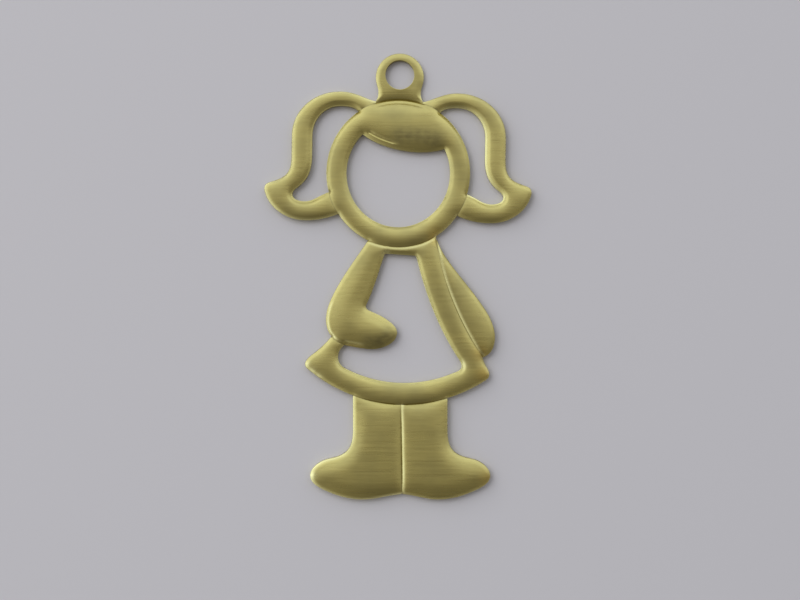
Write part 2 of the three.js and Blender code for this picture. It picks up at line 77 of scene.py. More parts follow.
# The struck lines, by the zones that they part: how high each lies over the flat sheet, how deep it
# is cut, the zone on its steep side, where it has one, and for that side the depth of the wide
# valley beyond and how bright it is made, by wear and by a painted highlight on that lit bank
Line = collections.namedtuple("Line", "level depth steep valley rub")
PLAIN_LINE = Line(0.25, 0.1, None, 0, 0)
LINES = {
    ("hanging_loop", "head_ring"): Line(-0.2, 0.1, None, 0, 0),
    ("back_arm", "dress"): Line(0.42, 0.14, "back_arm", 0, 0.7),
    ("left_boot", "right_boot"): Line(0.47, 0.1, "right_boot", 0.13, 0.8),
    ("head_ring", "left_pigtail"): Line(0.3, 0.06, "head_ring", 0, 0),
    ("head_ring", "right_pigtail"): Line(0.34, 0.04, None, 0, 0),
    ("dress", "front_arm"): Line(0.34, 0.07, None, 0, 0),
    ("dress", "head_ring"): Line(0.25, 0.1, "dress", 0, 0.5),
    ("front_arm", "head_ring"): Line(0.25, 0.1, "front_arm", 0, 0.5),
}
SEAM_LEVEL = 0.1  # how high the seams between the loop and the pigtails lie
LEVEL_BLEND = 0.01  # how softly the levels of lines that meet blend, in square millimetres
LINE_REACH = 0.2  # a groove carries this far into its zones
STEEP_REACH = 0.18  # or this far on a steep side, with the valley farther
VALLEY_REACH = 0.5
GENTLE_REACH = 0.4  # and this far on the side across from a steep one
RUB_AND_SHEEN_PLACE = 0.16  # a steep side is made bright this far from its line, by wear and a painted highlight

# The arm runs into the neckline here, and no line shows between them
UNSTRUCK_PLACES = ((-1.15, 2.35),)
UNSTRUCK_REACH = 0.5

# The outlines
UPWARD = 0.02  # a face whose unit normal rises more than this belongs to the front
WELD = 0.003  # outline points nearer than this are one point
LEAST_SQUARE = 1e-12  # a segment without length counts as this long, squared
BORDER_STEP = 0.12
STATIONS_PER_STEP = 6  # an outline is smoothed at this many stations for each of its steps
LEAST_STATIONS = 16
SMOOTHING = 0.2
SMOOTHING_PARTS = 8  # a short run is smoothed over no more than one part in this many
BELL_REACH = 3  # the smoothing ends at this many times its own width
CORNER_TURN = math.radians(42)
SEGMENTS_AT_ONCE = 64  # distances are measured to this many segments at a time

# The fine mesh
BORDER_ROWS = (0.015, 0.04, 0.08, 0.13, 0.19, 0.27, 0.35, 0.44, 0.53)
ROW_KEEP = 0.94  # a row's point is kept if it is this share of its depth from every edge
GRID_PITCH = 0.15
MERGE = 1e-9  # points nearer than this are one corner of the triangles
SHARP_ANGLE = math.radians(50)
NEARBY = 2  # a border farther than this outside a zone's box doesn't reach the zone
FAR = 9.0  # how far away a kind of border counts where none is nearby

# The sheet drawn over a zone: its least weights, how settled it ends, and the most rounds it gets
TINY = 1e-9
SETTLED = 1e-12
MOST_ROUNDS = 4000

# How each struck zone swells: the height of its steep foot, the height of the crown over it, how
# far in from its edges the crown rounds off, the height of the broad swell, and the ledge of flat
# sheet left round an opening
Zone = collections.namedtuple("Zone", "foot crown spread body ledge")
ZONES = {
    "hanging_loop": Zone(0, 0, 0.5, 0, 0),
    "head_ring": Zone(0.11, 0.33, 0.75, 1.8, 0.03),
    "left_pigtail": Zone(0.11, 0.44, 0.65, 0, 0.12),
    "right_pigtail": Zone(0.11, 0.44, 0.65, 0, 0.12),
    "dress": Zone(0.11, 0.38, 0.62, 0.3, 0.03),
    "front_arm": Zone(0.1, 0.1, 0.7, 0.7, 0.03),
    "back_arm": Zone(0.11, 0.28, 0.8, 1.0, 0.03),
    "left_boot": Zone(0.12, 0.06, 0.6, 0.75, 0.03),
    "right_boot": Zone(0.11, 0.12, 0.6, 0.7, 0.03),
}

# The bevels that rise from some zones' edges: their slope and width, and the edges they start from
Bevel = collections.namedtuple("Bevel", "slope width edges")
BEVELS = {
    "front_arm": Bevel(0.13, 9, ("inner", "outer", "line")),
    "left_boot": Bevel(0.2, 1.3, ("outer",)),
    "right_boot": Bevel(0.17, 1.4, ("outer",)),
}
BEVEL_ROUND = 0.3
FOOT_WIDTH = 0.3  # the steep foot round a zone's cut edges is this wide

# The fringe swells less than the ring round it, the less the nearer it is to the head's centre
HEAD_CENTRE = (0, 9.4)
FRINGE_RADIUS = 6
FRINGE_REACH = 3.5
FRINGE_FOOT = 10  # the fringe begins over this height of the figure
FRINGE_RISE = 1  # and is whole from this much higher
CROWN_LOSS = 0.7
BODY_LOSS = 0.27

# The hand swells out of the forearm
HAND_PLACES = ((-2.0, -5.0),)
HAND_REACH = 1.6
HAND_RISE = 0.14
HAND_MARGIN = 1  # its swell is whole from this far inside its edges

# How wide the inner and outer edges of each zone are rolled, and how bright wear and painted highlight make
# them
Edges = collections.namedtuple("Edges", "inner_roll outer_roll inner_rub outer_rub")
PLAIN_EDGES = Edges(0.03, 0.03, 0.2, 0.3)
EDGES = {
    "hanging_loop": Edges(0.03, 0.5, 0, 0.3),
    "head_ring": Edges(0.03, 0.03, 0.3, 0.55),
    "left_pigtail": Edges(0.03, 0.03, 0.2, 0.8),
    # the right pigtail's inner edge is painted bright as a glint
    "right_pigtail": Edges(0.12, 0.03, 1, 0.3),
    "dress": Edges(0.03, 0.03, 0.45, 0.45),
    "front_arm": Edges(0.03, 0.03, 0.15, 0.25),
    "back_arm": Edges(0.03, 0.03, 0, 0),
    "left_boot": Edges(0.03, 0.03, 0.3, 1),
}
ROLL_SLOPE = 0.9  # a rolled edge ends at about this slope
ROLL_BLEND = 0.7  # rolled edges take the plain width within this distance of a neighbour
RUB_AND_SHEEN_WIDTH = 0.3  # edges are made bright this far in, by wear and painted highlight
RUB_AND_SHEEN_FALL = 1.5  # the power that the wear and painted highlight fade with
TARNISH_REACH = 0.2  # struck lines are dull this far out

# Small ledges struck along an edge. A crease runs from its start to its end, inset from the kinds of
# edge it follows, and fades out at both ends. Its far side may be made bright, by wear and a painted
# highlight.
Crease = collections.namedtuple("Crease", "zone edges start end inset depth rub")
CREASES = (
    Crease("head_ring", ("inner",), (-3.0, 13.0), (0.2, 12.0), 0.48, 0.14, 0.2),
    Crease("head_ring", ("line",), (-2.3, 15.9), (3.1, 15.9), 0.32, 0.09, 0),
    Crease("front_arm", ("outer", "line"), (-6.7, -2.5), (-4.7, -6.0), 0.03, 0.05, 0.75),
    Crease("front_arm", ("inner", "line"), (-5.1, -5.9), (-2.9, -6.4), 0.24, 0.1, 1),
)
CREASE_OUTWARD = 0.13  # the side of a crease nearer to the edge is this wide
CREASE_INWARD = 0.26  # and its other side this wide
CREASE_GROWTH = 0.5  # it grows from its start over this length
CREASE_DECAY = 1.0  # and dies away before its end over this one
CREASE_BAND = 1.5  # a crease stays within this distance of the straight line between its ends

# The toe of the right boot, the dress's right corner, the low end of the back arm, the neck's
# right corner and the corner under the elbow have a warm orange cast
WARM_PLACES = ((8.4, -18.5), (7.9, -8.9), (7.6, -7.1), (3.4, 3.7), (-4.0, -7.0))
WARM_REACH = 0.8

# Painted shade: the low side of the fringe and the underside of the hand are painted dull and brown
FRINGE_SHADE = ((3.4, 12.5), (2.6, 12.65), (1.8, 12.75), (1.0, 12.8), (0.2, 12.8))
HAND_SHADE = ((-2.6, -6.2), (-1.7, -6.1), (-0.9, -5.6))
SHADE_REACH = 0.9
SHADE_STRENGTH = 1.4

# Painted highlights, as glints: the left end of the neckline, the low right corner of the dress's opening
# and the left toe are painted bright, and so are the dress's left corner and the edge below it
HIGHLIGHT_PLACES = ((-1.05, 2.05), (5.8, -8.1), (-7.95, -18.2), (-8.4, -8.1), (-7.9, -8.7), (-7.3, -9.2))
HIGHLIGHT_REACH = 0.4


# Plan outlines
def sides_of(loop):
    """The sides of a closed loop, as pairs of its points."""
    return list(zip(loop, loop[1:] + loop[:1]))


def closed_loops(following):
    """The loops found by going from each point to the one that follows it, until none is left."""
    loops = []
    while following:
        start, here = following.popitem()
        loop = [start]
        while here != start:
            loop.append(here)
            here = following.pop(here)
        loops.append(loop)
    return loops


def plan_rims(node):
    """Closed loops of plan points round the upper face of a node, with the metal on their left."""
    mesh = node.data
    mesh.calc_loop_triangles()
    places = np.empty(3 * len(mesh.vertices), dtype=np.float32)
    mesh.vertices.foreach_get("co", places)
    corners = np.empty(3 * len(mesh.loop_triangles), dtype=np.int32)
    mesh.loop_triangles.foreach_get("vertices", corners)
    places, weld = np.unique(places.reshape(-1, 3), axis=0, return_inverse=True)
    triangles = weld.ravel()[corners].reshape(-1, 3)
    places = places.astype(float) / MM
    a, b, c = (places[triangles[:, i]] for i in range(3))
    normals = np.cross(b - a, c - a)
    upper = triangles[normals[:, 2] > UPWARD * np.linalg.norm(normals, axis=1)]
    sides = {side for triangle in upper.tolist() for side in sides_of(triangle)}
    following = {p: q for p, q in sides if (q, p) not in sides}
    return [places[loop, :2] for loop in closed_loops(following)]


def along_segments(points, starts, ends):
    """Distance of each point from each segment, and where along the segment it is nearest."""
    run = ends - starts
    square = np.maximum((run**2).sum(axis=1), LEAST_SQUARE)
    offset = points[:, None] - starts[None]
    share = np.clip((offset * run).sum(axis=2) / square, 0, 1)
    return np.linalg.norm(offset - share[..., None] * run, axis=2), share


def without_spurs(loop):
    """A loop of point numbers, less any place where it runs out along a line and straight back."""
    tips = [i for i in range(len(loop)) if loop[i - 1] == loop[(i + 1) % len(loop)]]
    if not tips:
        return loop
    turned = loop[tips[0] :] + loop[: tips[0]]
    return without_spurs(turned[1:-1])


def numbered_rims(rims):
    """One list of plan points for all nodes, and each loop as numbers into it.

    Points of neighbours that lie along a loop are added to it.
    """
    points = np.empty((0, 2))
    loops = []
    for name, node_loops in rims.items():
        for loop in node_loops:
            numbers = []
            for point in loop:
                gaps = np.linalg.norm(points - point, axis=1)
                if len(gaps) and gaps.min() < WELD:
                    numbers.append(int(gaps.argmin()))
                else:
                    numbers.append(len(points))
                    points = np.vstack([points, point])
            kept = [p for p, q in sides_of(numbers) if p != q]
            loops.append((name, kept))
    full_loops = []
    for name, loop in loops:
        full = []
        for p, q in sides_of(loop):
            gaps, share = along_segments(points, points[[p]], points[[q]])
            near = np.flatnonzero((gaps[:, 0] < WELD) & (share[:, 0] > 0) & (share[:, 0] < 1))
            between = [int(n) for n in near[np.argsort(share[near, 0])] if n not in (p, q)]
            full += [p, *between]
        full_loops.append((name, without_spurs(full)))
    return points, full_loops


def smooth_run(points, closed):
    """The same run without its facets, in steps of about BORDER_STEP. An open one keeps its ends."""
    lengths = np.linalg.norm(np.diff(points, axis=0), axis=1)
    travelled = np.concatenate([[0], np.cumsum(lengths)])
    length = travelled[-1]
    fine = max(LEAST_STATIONS, round(length / (BORDER_STEP / STATIONS_PER_STEP)))
    stations = np.linspace(0, length, fine + 1)
    run = np.stack([np.interp(stations, travelled, points[:, i]) for i in range(2)], axis=1)
    width = min(SMOOTHING, length / SMOOTHING_PARTS) / (length / fine)
    reach = int(BELL_REACH * width) + 1
    bell = np.exp(-0.5 * (np.arange(-reach, reach + 1) / width) ** 2)
    bell /= bell.sum()

    def blurred(values):
        if closed:
            body = values[:-1]
            before = np.tile(body, (1 + reach // len(body), 1))[-reach:]
            padded = np.concatenate([before, body, body[: reach + 1]])
        else:
            padded = np.pad(values, ((reach, reach), (0, 0)), mode="reflect", reflect_type="odd")
        columns = [np.convolve(padded[:, i], bell, mode="valid") for i in range(2)]
        return np.stack(columns, axis=1)[: len(values)]

    once = blurred(run)
    run = 2 * once - blurred(once)
    steps = max(1, round(length / BORDER_STEP))
    chosen = np.linspace(0, fine, steps + 1)
    return np.stack([np.interp(chosen, np.arange(fine + 1), run[:, i]) for i in range(2)], axis=1)


def turn_at(points, loop, i):
    """How sharply a loop turns at its corner number i, in radians."""
    before = points[loop[i]] - points[loop[i - 1]]
    after = points[loop[(i + 1) % len(loop)]] - points[loop[i]]
    cross = before[0] * after[1] - before[1] * after[0]
    return abs(math.atan2(cross, before @ after))


def side_users(loops):
    """The zones that each side of the numbered loops belongs to."""
    users = collections.defaultdict(set)
    for name, loop in loops:
        for side in sides_of(loop):
            users[frozenset(side)].add(name)
    return users


def opening_sides(points, loops, users):
    """The sides that go round an opening of the whole figure."""
    cut = [side for _, loop in loops for side in sides_of(loop) if len(users[frozenset(side)]) == 1]
    openings = set()
    for ring in closed_loops(dict(cut)):
        x, y = points[ring].T
        if np.sum(x * np.roll(y, -1) - np.roll(x, -1) * y) < 0:
            openings |= {frozenset(side) for side in sides_of(ring)}
    return openings


def stretches(loop, splits):
    """A loop cut at some of its corners. Each stretch has both its ends."""
    if not splits:
        return [loop + loop[:1]]
    twice = loop + loop
    lasts = splits[1:] + [splits[0] + len(loop)]
    return [twice[first : last + 1] for first, last in zip(splits, lasts)]


# A stretch of outline: its points, what it borders, and the zones on either side of it
Part = collections.namedtuple("Part", "run kind zones")


def trace_outlines():
    """Smooth outlines of all zones. Neighbours share the points of the line struck between them."""
    rims = {name: plan_rims(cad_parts[name]) for name in ZONES}
    points, loops = numbered_rims(rims)
    users = side_users(loops)
    openings = opening_sides(points, loops, users)

    def kind(side):
        if len(users[side]) == 2:
            seam = "hanging_loop" in users[side] and "head_ring" not in users[side]
            return "seam" if seam else "line"
        return "inner" if side in openings else "outer"

    runs = {}
    outlines = collections.defaultdict(list)
    for name, loop in loops:
        marks = [(kind(side), users[side]) for side in map(frozenset, sides_of(loop))]
        splits = [
            i
            for i in range(len(loop))
            if marks[i] != marks[i - 1] or turn_at(points, loop, i) > CORNER_TURN
        ]
        parts = []
        for stretch in stretches(loop, splits):
            forward = tuple(stretch)
            backward = forward[::-1]
            if forward not in runs and backward not in runs:
                runs[forward] = smooth_run(points[stretch], stretch[0] == stretch[-1])
            run = runs[forward] if forward in runs else runs[backward][::-1]
            side = frozenset(stretch[:2])
            parts.append(Part(run, kind(side), tuple(sorted(users[side]))))
        outlines[name].append(parts)
    return outlines


# The segments of all outlines, by what they border, by the level they lie at, and by the two zones
# that a struck line parts
Borders = collections.namedtuple("Borders", "kinds levels lines")


def joined(runs):
    """The starts and the ends of all segments of some runs."""
    return np.concatenate([run[:-1] for run in runs]), np.concatenate([run[1:] for run in runs])


def gathered(outlines):
    """The borders of all zones."""
    groups = Borders(*(collections.defaultdict(list) for _ in Borders._fields))
    for part in (part for loops in outlines.values() for parts in loops for part in parts):
        groups.kinds[part.kind].append(part.run)
        if part.kind == "line":
            groups.levels[LINES.get(part.zones, PLAIN_LINE).level].append(part.run)
            groups.lines[part.zones].append(part.run)
        if part.kind == "seam":
            groups.levels[SEAM_LEVEL].append(part.run)
    return Borders(*({key: joined(runs) for key, runs in group.items()} for group in groups))


def inside(points, starts, ends):
    """Which points lie inside closed outlines, given as segments."""
    crossings = np.zeros(len(points), dtype=int)
    for (x0, y0), (x1, y1) in zip(starts, ends):
        if y0 != y1:
            level = (y0 > points[:, 1]) != (y1 > points[:, 1])
            crossings += level & (points[:, 0] < x0 + (x1 - x0) * (points[:, 1] - y0) / (y1 - y0))
    return crossings % 2 == 1


def distance_to(points, starts, ends):
    """Distance of each point from the nearest segment."""
    nearest = np.full(len(points), np.inf)
    for first in range(0, len(starts), SEGMENTS_AT_ONCE):
        last = first + SEGMENTS_AT_ONCE
        gaps, _ = along_segments(points, starts[first:last], ends[first:last])
        nearest = np.minimum(nearest, gaps.min(axis=1))
    return nearest


def border_gaps(plan, borders):
    """How far each point of a zone's plan lies from each kind of border."""
    low, high = plan.min(axis=0) - NEARBY, plan.max(axis=0) + NEARBY
    gaps = {}
    for kind, (starts, ends) in borders.kinds.items():
        near = ((starts > low) & (starts < high)).all(axis=1)
        gaps[kind] = distance_to(plan, starts[near], ends[near]) if near.any() else np.full(len(plan), FAR)
    return gaps


# The relief
def fine_plan(parts_of_loops):
    """A fine triangle mesh of one zone's plan. Its first points are the outline, loop by loop."""
    loops = [np.concatenate([part.run[:-1] for part in parts]) for parts in parts_of_loops]
    border = np.concatenate(loops)
    after = np.concatenate([np.roll(loop, -1, axis=0) for loop in loops])
    before = np.concatenate([np.roll(loop, 1, axis=0) for loop in loops])
    along = after - before
    inward = np.stack([-along[:, 1], along[:, 0]], axis=1) / np.linalg.norm(along, axis=1)[:, None]
    row_points = np.concatenate([border + inward * depth for depth in BORDER_ROWS])
    row_depths = np.repeat(BORDER_ROWS, len(border))
    low, high = border.min(axis=0), border.max(axis=0)
    pitch_y = GRID_PITCH * math.sqrt(3) / 2
    grid = np.array(
        [
            (x + (k % 2) * GRID_PITCH / 2, y)
            for k, y in enumerate(np.arange(low[1], high[1], pitch_y))
            for x in np.arange(low[0], high[0], GRID_PITCH)
        ]
    )
    extra = np.concatenate([row_points, grid])
    grid_margin = BORDER_ROWS[-1] + GRID_PITCH / 2
    least = np.concatenate([ROW_KEEP * row_depths, np.full(len(grid), grid_margin)])
    fits = inside(extra, border, after) & (distance_to(extra, border, after) > least)
    plan = np.concatenate([border, extra[fits]])
    edges = []
    for loop in loops:
        first = len(edges)
        edges += sides_of(list(range(first, first + len(loop))))
    found = delaunay_2d_cdt([Vector(p) for p in plan.tolist()], edges, [], 0, MERGE, True)
    source = np.array([ids[0] if ids else -1 for ids in found[3]])
    triangles = source[np.array(found[2])]
    middles = plan[triangles].mean(axis=1)
    triangles = triangles[inside(middles, border, after)]
    return plan, triangles, edges


def membrane(plan, triangles, held, start, spread, lift):
    """A sheet over the plan: held at some points, elsewhere drawn towards lift within about spread."""
    area = np.zeros(len(plan))
    links = []
    for a, b, c in (triangles.T, np.roll(triangles.T, 1, axis=0), np.roll(triangles.T, 2, axis=0)):
        u = plan[a] - plan[c]
        v = plan[b] - plan[c]
        twice = np.maximum(u[:, 0] * v[:, 1] - u[:, 1] * v[:, 0], TINY)
        links.append((a, b, 0.5 * (u * v).sum(axis=1) / twice))
        area += np.bincount(c, twice / 6, len(plan))
    first, second, weight = (np.concatenate(column) for column in zip(*links))
    grip = area / spread**2
    total = np.bincount(first, weight, len(plan)) + np.bincount(second, weight, len(plan)) + grip
    loose = ~held

    def pull(values):
        shared = np.bincount(first, weight * values[second], len(plan))
        shared += np.bincount(second, weight * values[first], len(plan))
        return total * values - shared

    height = np.where(held, start, 0.0)
    rest = (grip * lift - pull(height)) * loose
    scale = np.where(loose & (total > 0), 1 / np.maximum(total, TINY), 0)
    step = scale * rest
    energy = rest @ step
    target = energy * SETTLED
    for _ in range(MOST_ROUNDS):
        if energy <= target:
            break
        pulled = pull(step) * loose
        size = energy / (step @ pulled)
        height += size * step
        rest -= size * pulled
        ready = scale * rest
        renewed = rest @ ready
        step = ready + renewed / energy * step
        energy = renewed
    return height


def fade(distance, reach, power=2.0):
    """One on a line, falling to nothing at its reach."""
    return np.clip(1 - distance / reach, 0, 1) ** power


def rolled(gap, width):
    """How far a rolled edge has fallen, at a distance from the edge."""
    return ROLL_SLOPE * np.clip(width - gap, 0, width) ** 2 / (2 * width)


def eased(share):
    """A smooth rise from nothing to one as the share goes from 0 to 1."""
    share = np.clip(share, 0, 1)
    return share * share * (3 - 2 * share)


def near_places(plan, places, reach):
    """One at each of some places, falling softly to nothing round them."""
    gaps = [np.linalg.norm(plan - place, axis=1) for place in places]
    return np.exp(-((np.min(gaps, axis=0) / reach) ** 2))


def line_levels(plan, gaps, borders):
    """How high the struck lines lie near each point: each line's own level, blended where lines meet."""
    weights = 0
    levels = 0
    for level, (starts, ends) in borders.levels.items():
        weight = 1 / (distance_to(plan, starts, ends) ** 2 + LEVEL_BLEND)
        weights += weight
        levels += weight * level
    edge_gap = np.minimum(gaps["inner"], gaps["outer"])
    return levels / weights * (1 - np.exp(-edge_gap / EDGE_FALL))


def line_groove(name, plan, borders):
    """How deep the struck lines round a zone are cut, at each point of it."""
    groove = np.zeros(len(plan))
    for zones, (starts, ends) in borders.lines.items():
        line = LINES.get(zones, PLAIN_LINE)
        gap = distance_to(plan, starts, ends)
        if line.steep == name:
            depth = line.depth * np.exp(-gap / STEEP_REACH) + line.valley * np.exp(-gap / VALLEY_REACH)
        else:
            reach = GENTLE_REACH if line.steep and name in zones else LINE_REACH
            depth = (line.depth + line.valley) * np.exp(-gap / reach)
        if zones == ("dress", "front_arm"):
            depth *= 1 - near_places(plan, UNSTRUCK_PLACES, UNSTRUCK_REACH)
        groove = np.maximum(groove, depth)
    return groove


def rubbed_and_highlighted(name, plan, gaps, borders):
    """How bright a zone is made: wear on its edges, and painted highlights on chosen edges, on the lit
    banks of lines and creases and at the highlight places.
    """
    edges = EDGES.get(name, PLAIN_EDGES)
    bright = np.maximum(
        edges.inner_rub * fade(gaps["inner"], RUB_AND_SHEEN_WIDTH, RUB_AND_SHEEN_FALL),
        edges.outer_rub * fade(gaps["outer"], RUB_AND_SHEEN_WIDTH, RUB_AND_SHEEN_FALL),
    )
    # the lit banks of lines and creases get a painted highlight
    for zones, (starts, ends) in borders.lines.items():
        line = LINES.get(zones, PLAIN_LINE)
        if line.steep == name:
            gap = distance_to(plan, starts, ends)
            bright = np.maximum(bright, line.rub * fade(np.abs(gap - RUB_AND_SHEEN_PLACE), RUB_AND_SHEEN_PLACE, 1))
    for crease in CREASES:
        if crease.zone == name:
            offset, reach = beside_crease(plan, gaps, crease)
            bright = np.maximum(bright, crease.rub * reach * fade(np.abs(offset - RUB_AND_SHEEN_PLACE), RUB_AND_SHEEN_PLACE, 1))
    # painted highlights at the highlight places
    return np.maximum(bright, near_places(plan, HIGHLIGHT_PLACES, HIGHLIGHT_REACH))


def rolled_down(name, gaps):
    """How far the rolled edges of a zone have fallen at each point."""
    edges = EDGES.get(name, PLAIN_EDGES)
    own = eased(np.minimum(gaps["line"], gaps["seam"]) / ROLL_BLEND)
    drops = []
    for gap, roll, plain in (
        (gaps["inner"], edges.inner_roll, PLAIN_EDGES.inner_roll),
        (gaps["outer"], edges.outer_roll, PLAIN_EDGES.outer_roll),
    ):
        drops.append(rolled(gap, plain + (roll - plain) * own))
    return np.maximum(*drops)


def fringe_share(name, plan):
    """How far each point of the head lies in the fringe: nothing on the ring, one near its centre."""
    if name != "head_ring":
        return np.zeros(len(plan))
    inward = (FRINGE_RADIUS - np.linalg.norm(plan - HEAD_CENTRE, axis=1)) / FRINGE_REACH
    return np.clip(inward, 0, 1) * eased((plan[:, 1] - FRINGE_FOOT) / FRINGE_RISE)


def beside_crease(plan, gaps, crease):
    """How far in from a crease each point lies, and how strong the crease is there along its run."""
    start, end = np.array(crease.start), np.array(crease.end)
    length = np.linalg.norm(end - start)
    along = (plan - start) @ (end - start) / length
    beside = np.abs((plan - start) @ np.array([start[1] - end[1], end[0] - start[0]])) / length
    offset = np.min([gaps[kind] for kind in crease.edges], axis=0) - crease.inset
    reach = eased(along / CREASE_GROWTH) * eased((length - along) / CREASE_DECAY)
    return offset, reach * (beside < CREASE_BAND)


def creased(plan, gaps, crease):
    """How deep a crease goes at each point."""
    offset, reach = beside_crease(plan, gaps, crease)
    across = 1 - np.maximum(-offset / CREASE_OUTWARD, offset / CREASE_INWARD)
    return crease.depth * np.clip(across, 0, 1) * reach


def bevelled(name, gaps):
    """How high a zone's bevels have risen at each point, from the kinds of edge that they start from."""
    if name not in BEVELS:
        return np.zeros(len(gaps["inner"]))
    bevel = BEVELS[name]
    nearest = np.min([gaps[kind] for kind in bevel.edges], axis=0)
    return bevel.slope * np.minimum(nearest, bevel.width)


def swelled(name, plan, triangles, gaps, border, level):
    """How high a zone's foot, bevels, crown and broad swell stand over the flat sheet together."""
    zone = ZONES[name]
    held = border | (gaps["inner"] < zone.ledge)
    from_edge = np.minimum(np.maximum(gaps["inner"] - zone.ledge, 0), gaps["outer"])
    foot = zone.foot * np.minimum(from_edge / FOOT_WIDTH, 1)
    ramp = bevelled(name, gaps)
    share = np.where(border, level - foot - ramp, 0) / (zone.crown + zone.body)
    fringe = fringe_share(name, plan)
    layers = (
        (zone.crown, zone.spread, 1 - CROWN_LOSS * fringe),
        (zone.body, BODY_SPREAD, 1 - BODY_LOSS * fringe),
    )
    swell = foot + membrane(plan, triangles, held, ramp, BEVEL_ROUND, ramp)
    for height, spread, target in layers:
        if height:
            swell += height * membrane(plan, triangles, held, share, spread, target)
    if name == "front_arm":
        hand = HAND_RISE * near_places(plan, HAND_PLACES, HAND_REACH)
        swell += hand * eased(from_edge / HAND_MARGIN)
    return swell


def struck_lift(name, plan, triangles, gaps, borders, count):
    """How high a zone's front is struck up over the flat sheet, with its lines and creases cut in."""
    border = np.arange(len(plan)) < count
    limit = FULL_HEIGHT - SHEET
    level = np.where(border, line_levels(plan, gaps, borders), 0.0)
    lift = membrane(plan, triangles, border, level, LEVEL_SPREAD, 0.0)
    if ZONES[name].crown:
        swell = swelled(name, plan, triangles, gaps, border, level)
        rise = eased(gaps["seam"] / SEAM_RISE) if "pigtail" in name else 1
        lift += (swell - lift) * rise
    lift /= (1 + (lift / limit) ** LIMIT_SHARPNESS) ** (1 / LIMIT_SHARPNESS)
    lift -= line_groove(name, plan, borders)
    for crease in CREASES:
        if crease.zone == name:
            lift -= creased(plan, gaps, crease)
    return lift


def tarnished_and_shaded(plan, gaps):
    """How dull and brown each point is: tarnish in the struck lines, and painted shade on the low side of
    the fringe and under the hand.
    """
    dull_and_shade = SHADE_STRENGTH * near_places(plan, FRINGE_SHADE + HAND_SHADE, SHADE_REACH)
    struck = 1 - near_places(plan, UNSTRUCK_PLACES, UNSTRUCK_REACH)
    return np.maximum(struck * fade(gaps["line"], TARNISH_REACH), dull_and_shade)


def solid_mesh(name, plan, triangles, edges, front, back):
    """A closed mesh from back to front. Its front, back and walls have one material slot each."""
    total = len(plan)
    points = np.concatenate([np.column_stack([plan, front]), np.column_stack([plan, back])]) * MM
    walls = []
    for p, q in edges:
        walls += [(p, p + total, q + total), (p, q + total, q)]
    faces = np.concatenate([triangles, triangles[:, ::-1] + total, np.array(walls)])
    mesh = bpy.data.meshes.new(name)
    mesh.from_pydata(points.tolist(), [], faces.tolist())
    slots = np.repeat(np.arange(3, dtype=np.int32), (len(triangles), len(triangles), len(walls)))
    mesh.polygons.foreach_set("material_index", slots)
    return mesh


def zone_piece(name, outline, borders):
    """One struck zone as a closed solid, with its wear and painted highlights, its tarnish and painted
    shade, and its warmth marked on its points.
    """
    plan, triangles, edges = fine_plan(outline)
    gaps = border_gaps(plan, borders)
    lift = struck_lift(name, plan, triangles, gaps, borders, len(edges))
    front = SHEET + lift - rolled_down(name, gaps)
    back = np.maximum(lift - HOLLOW_MARGIN, 0) * HOLLOW_SHARE
    back += BURR_ROUND * fade(np.minimum(gaps["inner"], gaps["outer"]), BURR_ROUND)
    mesh = solid_mesh(name + "_brass", plan, triangles, edges, front, back)
    marks = {
        # wear, and painted highlights
        "wear_and_sheen": rubbed_and_highlighted(name, plan, gaps, borders),
        # tarnish in the lines, and painted shade under the fringe and the hand
        "tarnish_and_shade": tarnished_and_shaded(plan, gaps),
        "warmth": near_places(plan, WARM_PLACES, WARM_REACH),
    }
    for label, values in marks.items():
        both_faces = np.tile(values, 2).astype(np.float32)
        mesh.attributes.new(label, "FLOAT", "POINT").data.foreach_set("value", both_faces)
    mesh.shade_smooth()
    mesh.set_sharp_from_angle(angle=SHARP_ANGLE)
    mesh.update()
    piece = bpy.data.objects.new(name + "_brass", mesh)
    bpy.context.scene.collection.objects.link(piece)
    return piece


# Materials
def node_of(tree, kind, **settings):
    """A shader node with some of its settings, and its inputs given by name under inputs."""
    node = tree.nodes.new(kind)
    for key, value in settings.pop("inputs", {}).items():
        node.inputs[key].default_value = value
    for key, value in settings.items():
        setattr(node, key, value)
    return node


def feed(tree, socket, source):
    """Links a socket to what another node puts out, or sets it to a plain value."""
    if isinstance(source, bpy.types.NodeSocket):
        tree.links.new(source, socket)
    else:
        socket.default_value = source


def calculate(tree, operation, *sources):
    node = node_of(tree, "ShaderNodeMath", operation=operation)
    for socket, source in zip(node.inputs, sources):
        feed(tree, socket, source)
    return node.outputs[0]


def mapped(tree, value, low, high, new_low, new_high):
    """A value carried from one range to another, and kept inside it."""
    limits = {"From Min": low, "From Max": high, "To Min": new_low, "To Max": new_high}
    node = node_of(tree, "ShaderNodeMapRange", inputs=limits)
    tree.links.new(value, node.inputs["Value"])
    return node.outputs["Result"]


def mixed(tree, share, first, second):
    """A colour between two others."""
    node = node_of(tree, "ShaderNodeMix", data_type="RGBA")
    feed(tree, node.inputs[0], share)
    feed(tree, node.inputs[6], first)
    feed(tree, node.inputs[7], second)
    return node.outputs[2]


# A pattern in the brass: its patches per metre along each axis of the pendant, how detailed they
# are, and the span of the noise that is carried to a span of its own
Pattern = collections.namedtuple("Pattern", "per_metre detail low high least most")
STREAKS = Pattern((170, 4600, 4600), 3.0, 0.25, 0.75, -1.0, 1.0)
SCRATCHES = Pattern((420, 15000, 15000), 1.0, 0.2, 0.8, -0.4, 0.4)
PATCHES = Pattern((260, 330, 300), 3.0, 0.42, 0.72, 0.0, 0.6)
CRUMBS = Pattern((1500, 2600, 2000), 3.0, 0.3, 0.7, 0.55, 1.0)
# breaks up the wear and the painted highlights along the edges
RUB_AND_SHEEN_NOISE = Pattern((450, 450, 450), 2.0, 0.3, 0.65, 0.6, 1.0)


